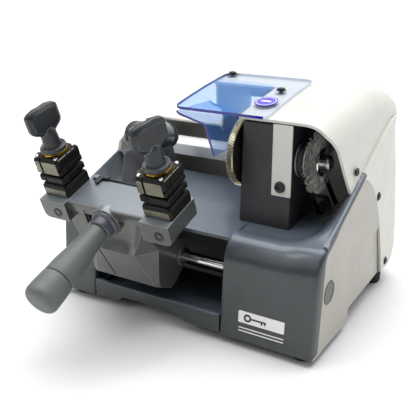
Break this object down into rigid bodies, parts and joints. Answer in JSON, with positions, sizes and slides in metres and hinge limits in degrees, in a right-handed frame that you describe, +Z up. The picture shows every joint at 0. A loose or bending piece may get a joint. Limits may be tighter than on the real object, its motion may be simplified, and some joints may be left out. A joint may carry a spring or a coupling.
{
  "type": "key duplicating machine",
  "caption": "Bench key duplicating machine: rocking carriage with two key clamps, cutter, wire brush and tracer under a hood with a clear visor.",
  "frame": {"origin": "on the surface it stands on, under the middle of the whole machine's bounding box", "axes": "+X to the right seen from the front, +Y to the back, +Z up"},
  "size_m": [0.335, 0.4447, 0.2605],
  "materials": {
    "grey_paint": "satin, fine texture",
    "dark_paint": "satin",
    "white_cover": "satin, fine texture",
    "steel": "turned and polished",
    "jaw_steel": "black oxide, slightly oily",
    "pin_steel": "ground",
    "cutter_steel": "ground tool steel",
    "brass": "polished",
    "bronze": "machined",
    "chrome": "polished",
    "grip_plastic": "satin",
    "knob_plastic": "satin",
    "black_plastic": "satin",
    "black_screw": "black oxide",
    "rubber": "matte",
    "clear_blue": "clear, tinted blue",
    "wire": "drawn wire",
    "label": "gloss",
    "badge": "gloss",
    "cast_alloy": "as cast",
    "belt_rubber": "matte",
    "rocker_plastic": "gloss"
  },
  "bodies": {
    "base": {"base_casting": "grey_paint", "bottom_plate": "dark_paint", "rubber_feet": "rubber", "shaft_plugs": "grey_paint", "name_plate": "label", "carriage_shaft": "steel", "tracer_tower": "grey_paint", "tracer_head": "steel", "tracer_clamp_screw": "black_screw", "spindle_housing": "dark_paint", "front_strip": "white_cover", "strip_screw": "black_screw", "spindle_bearings": "steel", "drive_belt": "belt_rubber", "motor": "cast_alloy", "motor_bracket": "dark_paint", "hood": "white_cover", "visor": "clear_blue", "visor_screws": "black_screw", "visor_badge": "badge", "chip_guard": "clear_blue", "rear_cover": "white_cover", "cover_screws": "black_screw", "mains_inlet": "black_plastic", "switch_frame": "black_plastic"},
    "slider": {"carriage_bushes": "bronze"},
    "carriage": {"carriage_casting": "grey_paint", "seat_screws": "black_screw", "handle_stud": "steel", "handle_collar": "chrome", "handle_grip": "grip_plastic", "handle_cap": "grip_plastic"},
    "gauge": {"gauge_rod": "steel"},
    "spindle": {"spindle": "steel", "cutter": "cutter_steel", "cutter_nut": "steel", "brush_hub": "chrome", "brush_bristles": "wire", "brush_nut": "steel", "spindle_pulley": "cast_alloy"},
    "motor_rotor": {"motor_shaft": "steel", "motor_pulley": "cast_alloy"},
    "stylus": {"tracer_stylus": "black_screw"},
    "dial": {"tracer_dial": "black_plastic"},
    "tray": {"chip_tray": "grey_paint"},
    "rocker": {"switch_rocker": "rocker_plastic"},
    "left_clamp": {"left_lower_jaw": "jaw_steel", "left_clamp_stud": "steel"},
    "left_jaw": {"left_upper_jaw": "jaw_steel", "left_jaw_pins": "pin_steel", "left_washer": "brass"},
    "left_knob": {"left_wing_knob": "knob_plastic"},
    "right_clamp": {"right_lower_jaw": "jaw_steel", "right_clamp_stud": "steel"},
    "right_jaw": {"right_upper_jaw": "jaw_steel", "right_jaw_pins": "pin_steel", "right_washer": "brass"},
    "right_knob": {"right_wing_knob": "knob_plastic"}
  },
  "joints": [
    {"name": "carriage_slide", "type": "slide", "parent": "base", "child": "slider", "axis": [1, 0, 0], "range_m": [-0.008, 0.05]},
    {"name": "carriage_rock", "type": "hinge", "parent": "slider", "child": "carriage", "pos_m": [-0.057, -0.03166, 0.0725], "axis": [-1, 0, 0], "range_deg": [0, 30]},
    {"name": "gauge_flip", "type": "hinge", "parent": "carriage", "child": "gauge", "pos_m": [-0.05, -0.07492, 0.16211], "axis": [-1, 0, 0], "range_deg": [0, 90]},
    {"name": "left_clamp_turn", "type": "hinge", "parent": "carriage", "child": "left_clamp", "pos_m": [-0.116, -0.09697, 0.15546], "axis": [0, -0.342, 0.9397], "range_deg": [-90, 90]},
    {"name": "left_jaw_lift", "type": "slide", "parent": "left_clamp", "child": "left_jaw", "axis": [0, -0.342, 0.9397], "range_m": [-0.0025, 0.003]},
    {"name": "left_knob_turn", "type": "hinge", "parent": "left_jaw", "child": "left_knob", "pos_m": [-0.116, -0.09697, 0.15546], "axis": [0, -0.342, 0.9397], "range_deg": [-450, 540]},
    {"name": "right_clamp_turn", "type": "hinge", "parent": "carriage", "child": "right_clamp", "pos_m": [0.017, -0.09697, 0.15546], "axis": [0, -0.342, 0.9397], "range_deg": [-90, 90]},
    {"name": "right_jaw_lift", "type": "slide", "parent": "right_clamp", "child": "right_jaw", "axis": [0, -0.342, 0.9397], "range_m": [-0.0025, 0.003]},
    {"name": "right_knob_turn", "type": "hinge", "parent": "right_jaw", "child": "right_knob", "pos_m": [0.017, -0.09697, 0.15546], "axis": [0, -0.342, 0.9397], "range_deg": [-450, 540]},
    {"name": "spindle_spin", "type": "hinge", "parent": "base", "child": "spindle", "pos_m": [0.08, 0.01784, 0.191], "axis": [1, 0, 0], "continuous": true},
    {"name": "motor_spin", "type": "hinge", "parent": "base", "child": "motor_rotor", "pos_m": [0.1, 0.12484, 0.078], "axis": [1, 0, 0], "continuous": true},
    {"name": "tracer_dial_turn", "type": "hinge", "parent": "base", "child": "dial", "pos_m": [-0.091, 0.01784, 0.191], "axis": [0, 0.9803, -0.1977], "range_deg": [-180, 180]},
    {"name": "stylus_set", "type": "slide", "parent": "base", "child": "stylus", "axis": [0, 0.9803, -0.1977], "range_m": [-0.0005, 0.0005]},
    {"name": "tray_pull", "type": "slide", "parent": "base", "child": "tray", "axis": [0, -1, 0], "range_m": [0, 0.1]},
    {"name": "switch_rock", "type": "hinge", "parent": "base", "child": "rocker", "pos_m": [-0.07, 0.21784, 0.06], "axis": [0, 0, -1], "range_deg": [0, 12]}
  ],
  "couplings": [
    {"joint": "left_knob_turn", "follows": "left_jaw_lift", "rad_per_m": 3141.6},
    {"joint": "right_knob_turn", "follows": "right_jaw_lift", "rad_per_m": 3141.6},
    {"joint": "motor_spin", "follows": "spindle_spin", "ratio": 1.1333},
    {"joint": "tracer_dial_turn", "follows": "stylus_set", "rad_per_m": 6283.2}
  ]
}
